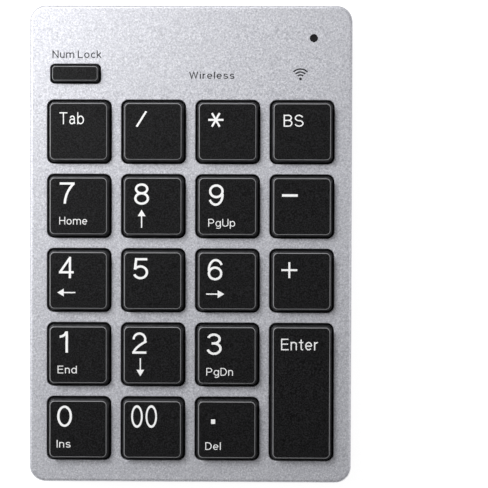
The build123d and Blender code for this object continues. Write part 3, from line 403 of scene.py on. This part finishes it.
def digits(sign, h):
    """The strokes of a digit; h is half the width of a stroke."""
    top, waist = 1 - h, 0.535
    six = [bowl(0.34, h, 0.62 - h / 2, 0.34 - h, 0, 360), arc(0.37, 0.5, 0.37 - h, 0.5 - h, 187, 30)]
    return {
        "0": [bowl(0.34, h, top, 0.34 - h, 0, 360)],
        "1": [[(0.31, 0), (0.31, 1)], arc(0.0, 1.02, 0.29, 0.27, -90, -12)],
        "2": [bowl(0.34, 0.40, top, 0.33 - h, 180, -20) + swept((0.62, 0.56), (0.16, 0.32), (h, h)),
              [(0, h), (0.67, h)]],
        "3": [bowl(0.33, waist, top, 0.31 - h, 165, -90), bowl(0.34, h, waist, 0.34 - h, 90, -168),
              [(0.23, waist), (0.35, waist)]],
        "4": [[(0.52, 0), (0.52, 1)], [(0.49, 0.97 - h), (h, 0.28)], [(0, 0.28), (0.70, 0.28)]],
        "5": [[(0.12, top), (0.63, top)], [(0.15, 1), (0.085, 0.46)],
              arc(0.33, 0.33, 0.34 - h, 0.33 - h, 145, -160)],
        "6": six,
        "7": [[(0, top), (0.68, top)], swept((0.64, top), (0.26, 0.55), (0.23, 0))],
        "8": [bowl(0.34, waist, top, 0.31 - h, 0, 360), bowl(0.34, h, waist, 0.34 - h, 0, 360)],
        "9": half_turn(six, 0.68, 1),
    }[sign]


def capitals(sign, h):
    """The strokes of a capital letter."""
    top, waist, stem = 1 - h, 0.53, [(h, 0), (h, 1)]
    return {
        "T": [[(0, top), (0.74, top)], [(0.37, 0), (0.37, 1)]],
        "B": [stem, [(h, top), (0.36, top)] + bowl(0.36, waist, top, 0.29 - h, 90, -90) + [(h, waist)],
              [(0.36, waist)] + bowl(0.38, h, waist, 0.31 - h, 90, -90) + [(h, h)]],
        "S": [bowl(0.34, 0.51, top, 0.33 - h, 15, 270), bowl(0.35, h, 0.51, 0.35 - h, 90, -165)],
        "H": [stem, [(0.73 - h, 0), (0.73 - h, 1)], [(h, waist), (0.73 - h, waist)]],
        "P": [stem, [(h, top), (0.36, top)] + bowl(0.36, 0.45, top, 0.32 - h, 90, -90) + [(h, 0.45)]],
        "U": [[(h, 1), (h, 0.33)] + arc(0.36, 0.33, 0.36 - h, 0.33 - h, 180, 360) + [(0.72 - h, 1)]],
        "E": [stem, [(h, top), (0.64, top)], [(h, waist), (0.60, waist)], [(h, h), (0.66, h)]],
        "D": [stem, [(h, top), (0.30, top)] + bowl(0.30, h, top, 0.42 - h, 90, -90) + [(h, h)]],
        "I": [stem],
        "N": [stem, [(h, top), (0.72 - h, h)], [(0.72 - h, 0), (0.72 - h, 1)]],
        "L": [stem, [(h, h), (0.58, h)]],
        "W": [[(h, 1), (0.28, h), (0.52, 0.97), (0.76, h), (1.04 - h, 1)]],
    }[sign]


def small_letters(sign, h):
    """The strokes of a small letter."""
    top, mid = X_HEIGHT - h, X_HEIGHT / 2
    stem, tall = [(h, 0), (h, X_HEIGHT)], [(h, 0), (h, 1)]
    ring = bowl(0.31, h, top, 0.31 - h, 0, 360)
    arch = [(h, 0)] + arc(0.27, top - 0.20, 0.27 - h, 0.20, 180, 0) + [(0.54 - h, 0)]
    second = [(x + 0.54 - 2 * h, y) for x, y in arch[1:]]
    return {
        "a": [bowl(0.28, top - 0.38, top, 0.24 - h, 165, 0) + [(0.52 - h, 0.14), (0.58 - h, h)],
              [(0.52 - h, 0.43)] + bowl(0.24, h, 0.42, 0.24 - h, 70, 290) + [(0.52 - h, 0.17)]],
        "b": [tall, ring],
        "c": [bowl(0.29, h, top, 0.29 - h, 42, 318)],
        "d": [[(0.62 - h, 0), (0.62 - h, 1)], ring],
        "e": [bowl(0.30, h, top, 0.30 - h, 0, 318), [(h, mid), (0.60 - h, mid)]],
        "g": [ring, [(0.62 - h, X_HEIGHT), (0.62 - h, -0.08)]
              + arc(0.33, -0.08, 0.29 - h, 0.20 - h, 0, -150)],
        "i": [stem, [(h, 0.88), (h, 1)]],
        "k": [tall, [(0.50, X_HEIGHT), (h, 0.27)], [(0.22, 0.42), (0.53, 0)]],
        "l": [tall],
        "m": [stem, arch, second],
        "n": [stem, arch],
        "o": [ring],
        "p": [[(h, -0.27), (h, X_HEIGHT)], ring],
        "r": [stem, [(h, 0.40)] + arc(0.36, top - 0.24, 0.36 - h, 0.24, 180, 95)],
        "s": [bowl(0.27, mid, top, 0.25 - h, 20, 270), bowl(0.27, h, mid, 0.27 - h, 90, -160)],
        "t": [[(0.20, X_HEIGHT + 0.20), (0.20, 0.17)] + arc(0.20 + 0.14, 0.17, 0.14, 0.17 - h, 180, 280),
              [(0, top), (0.38, top)]],
        "u": half_turn([stem, arch], 0.54, X_HEIGHT),
    }[sign]


def signs(sign, h):
    """The strokes of a calculating sign, about 1 across."""
    spokes = [[(0.5 + reach * cos(turn), 0.5 + reach * sin(turn)) for reach in (-0.5, 0.5)]
              for turn in (0, pi / 3, 2 * pi / 3)]
    return {"/": [[(0.08, 0), (0.62, 1)]], "+": [[(0, 0.5), (1, 0.5)], [(0.5, 0), (0.5, 1)]],
            "-": [[(0, 0.5), (1, 0.5)]], ".": [[(h, 0), (h, 2 * h)]], "*": spokes}[sign]


def strokes_of(sign, h):
    """The strokes of any character drawn on the object."""
    if sign.isdigit():
        return digits(sign, h)
    if sign.isalpha():
        return capitals(sign, h) if sign.isupper() else small_letters(sign, h)
    return signs(sign, h)


def ribbon(points, h):
    """The two edges of a stroke of half width h, mitred at its corners."""
    left, right = [], []
    for index, point in enumerate(points):
        here = Vector(point)
        before = here - Vector(points[max(index - 1, 0)])
        after = Vector(points[min(index + 1, len(points) - 1)]) - here
        before = (before if before.length > 0 else after).normalized()
        after = (after if after.length > 0 else before).normalized()
        if points[0] == points[-1] and index in (0, len(points) - 1):
            before = (Vector(points[0]) - Vector(points[-2])).normalized()
            after = (Vector(points[1]) - Vector(points[0])).normalized()
        along = (before + after).normalized()
        across = Vector((-along.y, along.x)) * h / max(along.dot(after), 0.35)
        left.append(here + across)
        right.append(here - across)
    return left, right


def text_mesh(words, name, weight):
    """Some words as flat ribbons, each a hair above the last so that none share a plane."""
    points, faces, cursor, level = [], [], 0.0, 0
    for sign in words:
        if sign == " ":
            cursor += WORD_SPACE
            continue
        strokes = [[(x + cursor, y) for x, y in stroke] for stroke in strokes_of(sign, weight / 2)]
        reach = cursor
        for stroke in strokes:
            left, right = ribbon(stroke, weight / 2)
            start = len(points)
            for a, b in zip(left, right):
                points += [(a.x, a.y, level), (b.x, b.y, level)]
                reach = max(reach, a.x, b.x)
            faces += [(start + 2 * i, start + 2 * i + 1, start + 2 * i + 3, start + 2 * i + 2)
                      for i in range(len(left) - 1)]
            level += 1
        cursor = reach + SPACING
    mesh = bpy.data.meshes.new(name)
    mesh.from_pydata(points, [], faces)
    return mesh


INK = 0.015 * MM                # how far the print stands off its surface
HAIR = 0.0004 * MM              # and each stroke off the last one


def fitted(mesh, left, bottom, width, height, placing):
    """Scales a flat mesh to a box and puts it on its plane, the thickness of ink above it."""
    points = [vertex.co for vertex in mesh.vertices]
    low = Vector((min(p.x for p in points), min(p.y for p in points)))
    high = Vector((max(p.x for p in points), max(p.y for p in points)))
    for vertex in mesh.vertices:
        x = left + (vertex.co.x - low.x) / (high.x - low.x) * width
        y = bottom + (vertex.co.y - low.y) / (high.y - low.y) * height
        vertex.co = placing @ Vector((x, y, INK + vertex.co.z * HAIR))
    return mesh


def words_on(name, words, node, body, box, weight, ink=INK_WHITE, origin=None):
    """Printed words in a box (left, bottom, width, height) in mm from the middle of a key's top."""
    placing = deck_frame(origin or key_origin(node))
    left, bottom, width, height = (value * MM for value in box)
    mesh = fitted(text_mesh(words, name, weight), left, bottom, width, height, placing)
    return piece(name, mesh, body, ink)


def shape_on(name, outline, node, body, box):
    """A printed sign from an outline in a unit square, in a box on a key's top."""
    mesh = bpy.data.meshes.new(name)
    mesh.from_pydata([(x, y, 0) for x, y in outline], [], [list(range(len(outline)))])
    left, bottom, width, height = (value * MM for value in box)
    fitted(mesh, left, bottom, width, height, deck_frame(key_origin(node)))
    return piece(name, mesh, body, INK_WHITE)


# Places and sizes of the legends, in mm from the middle of a key's top. A weight is the width of a
# stroke, as a share of the height of a capital.
DIGIT_LEFT, DIGIT_BOTTOM, DIGIT_WIDTH, DIGIT_HEIGHT = -4.75, 0.55, 3.8, 5.45
ONE_INSET, ONE_WIDTH = 0.4, 2.15
WORD_LEFT, WORD_BOTTOM, WORD_HEIGHT, DESCENDER = -4.85, -4.75, 1.95, 0.55
DIGIT_WEIGHT, WORD_WEIGHT = 0.108, 0.100
PRINT_DRIFT = 0.2               # left for each row down, and down for each column to the right


def drift(node):
    """How far a key's legends stand left of and below their place on the 7 key, as in the photo."""
    down = (key_origin("key_7") - key_origin(node)).dot(UPHILL) / KEY_PITCH
    right = (key_origin(node) - key_origin("key_7")).dot(ACROSS) / KEY_PITCH
    return -PRINT_DRIFT * down, -PRINT_DRIFT * right


for digit in "1234567890":
    node = "key_" + digit
    narrow = digit == "1"
    left, low = drift(node)
    box = (DIGIT_LEFT + left + (ONE_INSET if narrow else 0), DIGIT_BOTTOM + low,
           ONE_WIDTH if narrow else DIGIT_WIDTH, DIGIT_HEIGHT)
    words_on("legend_" + digit, digit, node, node + "_cap", box, DIGIT_WEIGHT)

# each key's words, their box (left, bottom, width, height) and weight
BIG_WORDS = {
    "key_tab": ("Tab", (-4.85, 1.8, 6.25, 3.05), WORD_WEIGHT),
    "key_backspace": ("BS", (-4.75, 1.3, 5.05, 3.05), WORD_WEIGHT),
    "key_enter": ("Enter", (-5.2, 1.4 + KEY_PITCH / 2 / MM, 9.4, 2.95), WORD_WEIGHT),
    "key_00": ("00", (-5.4, 0.4, 6.6, 5.8), DIGIT_WEIGHT),
    "key_divide": ("/", (-4.4, 1.1, 2.9, 4.15), 0.115),
    "key_multiply": ("*", (-4.95, 1.15, 3.9, 3.7), 0.13),
    "key_plus": ("+", (-5.2, 0.8, 4.05, 4.05), 0.125),
    "key_minus": ("-", (-5.1, 2.5, 4.0, 0.65), 0.16),
    "key_decimal": (".", (-4.0, 1.5, 1.05, 1.15), 0.2),
}
# each key's words and their width
SMALL_WORDS = {"key_7": ("Home", 7.1), "key_9": ("PgUp", 6.85), "key_1": ("End", 4.9),
               "key_3": ("PgDn", 6.8), "key_0": ("Ins", 3.55), "key_decimal": ("Del", 3.95)}
for node, (words, box, weight) in BIG_WORDS.items():
    words_on("legend_" + node[4:], words, node, node + "_cap", box, weight)
for node, (words, width) in SMALL_WORDS.items():
    tail = DESCENDER if "g" in words else 0.0
    left, low = drift(node)
    box = (WORD_LEFT + left, WORD_BOTTOM + low - tail, width, WORD_HEIGHT + tail)
    words_on("function_" + node[4:], words, node, node + "_cap", box, WORD_WEIGHT)

# a plain arrow in a unit square, pointing right
ARROW = [(0.0, 0.42), (0.64, 0.42), (0.64, 0.0), (1.0, 0.5), (0.64, 1.0), (0.64, 0.58), (0.0, 0.58)]


def turned(outline, quarter_turns):
    """An outline in the unit square, turned about its middle."""
    angle = quarter_turns * pi / 2
    return [(0.5 + (x - 0.5) * cos(angle) - (y - 0.5) * sin(angle),
             0.5 + (x - 0.5) * sin(angle) + (y - 0.5) * cos(angle)) for x, y in outline]


# each arrow's key, its quarter turns and the left and bottom of its box
ARROW_LONG, ARROW_WIDE = 4.6, 2.0
for node, turns, left, bottom in (("key_6", 0, -5.35, -4.35), ("key_8", 1, -3.85, -5.5),
                                  ("key_4", 2, -5.35, -4.1), ("key_2", 3, -4.1, -5.4)):
    wide, high = (ARROW_WIDE, ARROW_LONG) if turns % 2 else (ARROW_LONG, ARROW_WIDE)
    shape_on("arrow_" + node[4:], turned(ARROW, turns), node, node + "_cap", (left, bottom, wide, high))

# words printed on the deck
GUIDE_PROUD = 0.02 * MM         # how far the light guide stands out of the deck
deck_height = top_height("led_light_guide") - GUIDE_PROUD
print_origin = UPHILL * middle("key_num_lock").dot(UPHILL) + NORMAL * deck_height
for name, words, box, weight in (("print_num_lock", "Num Lock", (-35.45, 4.05, 12.6, 2.0), 0.12),
                                 ("print_wireless", "Wireless", (-0.45, -1.35, 11.6, 2.3), 0.13)):
    words_on(name, words, None, "root", box, weight, INK_GREY, print_origin)


def ring_part(inner, outer, start, end, steps=16):
    """The outline of a stretch of ring about the origin."""
    angles = [start + (end - start) * step / steps for step in range(steps + 1)]
    return ([(outer * cos(a), outer * sin(a)) for a in angles]
            + [(inner * cos(a), inner * sin(a)) for a in reversed(angles)])


# a plain radio sign beside the word: a dot and three waves
RADIO = (28.0, -1.1)
DOT_R, WAVE_FIRST, WAVE_STEP, WAVE_T = 0.36, 0.8, 0.76, 0.37
outlines = [ring_part(0.001, DOT_R, 0, tau)]
for step in range(3):
    inner = WAVE_FIRST + step * WAVE_STEP
    outlines.append(ring_part(inner, inner + WAVE_T, radians(45), radians(135)))
wave_points, wave_faces = [], []
for outline in outlines:
    wave_faces.append([len(wave_points) + index for index in range(len(outline))])
    wave_points += [deck_frame(print_origin) @ Vector(((RADIO[0] + x) * MM, (RADIO[1] + y) * MM, INK))
                    for x, y in outline]
waves = bpy.data.meshes.new("print_radio_sign")
waves.from_pydata(wave_points, [], wave_faces)
piece("print_radio_sign", waves, "root", INK_GREY)


# ---------------------------------------------------------------- rubber domes under the keys
def loose_parts(mesh):
    """The separate solids of a mesh, as lists of face indices."""
    links = {}
    for polygon in mesh.polygons:
        for vertex in polygon.vertices:
            corner = tuple(round(c, 7) for c in mesh.vertices[vertex].co)
            links.setdefault(corner, []).append(polygon.index)
    owner = list(range(len(mesh.polygons)))

    def root(index):
        while owner[index] != index:
            owner[index] = owner[owner[index]]
            index = owner[index]
        return index

    for together in links.values():
        for other in together[1:]:
            owner[root(other)] = root(together[0])
    groups = {}
    for polygon in mesh.polygons:
        groups.setdefault(root(polygon.index), []).append(polygon.index)
    return list(groups.values())


# radius and height of the turned outline, as shares of the dome's own
DOME_PROFILE = [(0.0, 1.0), (0.36, 1.0), (0.42, 0.97), (0.44, 0.90), (0.45, 0.74), (0.50, 0.66),
                (0.84, 0.17), (0.90, 0.13), (0.98, 0.12), (1.0, 0.09), (1.0, 0.0)]
DOME_SIDES = 40


def dome(name, base, radius, height):
    """A rubber dome as a turned shell."""
    placing = deck_frame(base)
    points = [placing @ Vector((radius * r * cos(tau * side / DOME_SIDES),
                                radius * r * sin(tau * side / DOME_SIDES), height * h))
              for r, h in DOME_PROFILE[1:] for side in range(DOME_SIDES)]
    points.append(placing @ Vector((0, 0, height)))
    faces = []
    for ring in range(len(DOME_PROFILE) - 2):
        for side in range(DOME_SIDES):
            after = (side + 1) % DOME_SIDES
            faces.append((ring * DOME_SIDES + side, (ring + 1) * DOME_SIDES + side,
                          (ring + 1) * DOME_SIDES + after, ring * DOME_SIDES + after))
    for side in range(DOME_SIDES):
        faces.append((len(points) - 1, side, (side + 1) % DOME_SIDES))
    last = (len(DOME_PROFILE) - 2) * DOME_SIDES
    faces.append([last + side for side in reversed(range(DOME_SIDES))])
    mesh = bpy.data.meshes.new(name)
    mesh.from_pydata(points, [], faces)
    mesh.shade_smooth()
    made = piece(name, mesh, "root", FINISHES["dome_rubber"].material)
    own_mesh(made)
    return made


domes = []
dome_mesh = nodes["rubber_domes"].data
for index, faces in enumerate(loose_parts(dome_mesh)):
    points = [dome_mesh.vertices[v].co for f in faces for v in dome_mesh.polygons[f].vertices]
    heights = [p.dot(NORMAL) for p in points]
    across = [p.x for p in points]
    uphill = [p.dot(UPHILL) for p in points]
    base = (ACROSS * (min(across) + max(across)) / 2 + UPHILL * (min(uphill) + max(uphill)) / 2
            + NORMAL * min(heights))
    under = min(presses, key=lambda child: (middle(child[:-4]) - base).cross(NORMAL).length)
    domes.append(dome("dome_" + under[4:-4], base, (max(across) - min(across)) / 2,
                      max(heights) - min(heights)))
for made in domes:
    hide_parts("rubber_domes")

# ---------------------------------------------------------------- floor, light and camera
FLOOR_HALF = 3.0
FLOOR_DROP = 0.0001             # the floor lies a little under the feet
floor_mesh = bpy.data.meshes.new("floor")
floor_mesh.from_pydata([(x * FLOOR_HALF, y * FLOOR_HALF, -FLOOR_DROP) for x, y in
                        ((-1, -1), (1, -1), (1, 1), (-1, 1))], [], [(0, 1, 2, 3)])
floor = bpy.data.objects.new("floor", floor_mesh)
bpy.context.scene.collection.objects.link(floor)
pale = Shader("floor_pale").constant(Specular_IOR_Level=0.1, Emission_Color=(1, 1, 1, 1),
                                     Emission_Strength=0.9)
pale.colour(pale.ramp(pale.noise(3.0), (0.3, (0.33, 0.33, 0.33)), (0.7, (0.35, 0.35, 0.35))))
pale.roughness(pale.ramp(pale.noise(20.0), (0.3, 0.8), (0.7, 0.9)))
floor_mesh.materials.append(pale.material)


def softbox(name, place, aim, size, watts):
    """A rectangular area light that faces a point."""
    data = bpy.data.lights.new(name, "AREA")
    data.shape = "RECTANGLE"
    data.size, data.size_y = size
    data.energy = watts
    lamp = bpy.data.objects.new(name, data)
    lamp.location = place
    lamp.rotation_euler = (Vector(aim) - Vector(place)).to_track_quat("-Z", "Y").to_euler()
    bpy.context.scene.collection.objects.link(lamp)


# the key light stands behind on the left, strips to the left and behind rake across the keys, and a
# weaker strip on the right keeps the shadows open
softbox("key_light", (-0.22, 0.20, 0.38), (-0.01, 0.01, 0.01), (0.18, 0.18), 1.87)
softbox("left_strip", (-0.36, 0.0, 0.32), (0, 0, 0.01), (0.10, 0.40), 0.48)
softbox("back_strip", (0.0, 0.36, 0.34), (0, 0, 0.01), (0.40, 0.10), 0.4)
softbox("right_strip", (0.38, -0.05, 0.32), (0, 0, 0.01), (0.10, 0.40), 0.32)
world = bpy.data.worlds.new("studio")
world.use_nodes = True
world.node_tree.nodes["Background"].inputs["Color"].default_value = (1, 1, 1, 1)
world.node_tree.nodes["Background"].inputs["Strength"].default_value = 0.15
bpy.context.scene.world = world

# The camera looks almost square to the deck from half a metre. Its place and aim go across, uphill and
# away from GRID, the deck under the middle key.
GRID = UPHILL * key_origin("key_5").dot(UPHILL) + NORMAL * deck_height
CAMERA = (23.0 * MM, 19.6 * MM, 499.4 * MM)
AIM = (13.72 * MM, 9.39 * MM)
ROLL = radians(0.2)
FOCAL = 144.0

camera_data = bpy.data.cameras.new("camera")
camera_data.lens = FOCAL
camera_data.sensor_width = 36.0
camera_data.clip_start = 0.01
camera = bpy.data.objects.new("camera", camera_data)
eye = GRID + ACROSS * CAMERA[0] + UPHILL * CAMERA[1] + NORMAL * CAMERA[2]
target = GRID + ACROSS * AIM[0] + UPHILL * AIM[1]
back = (eye - target).normalized()
right = -(ACROSS * cos(ROLL) + UPHILL * sin(ROLL)).cross(back).cross(back).normalized()
turn = Matrix((right, back.cross(right), back)).transposed().to_4x4()
camera.matrix_world = Matrix.Translation(eye) @ turn
bpy.context.scene.collection.objects.link(camera)
bpy.context.scene.camera = camera
bpy.context.scene.view_settings.view_transform = "Standard"
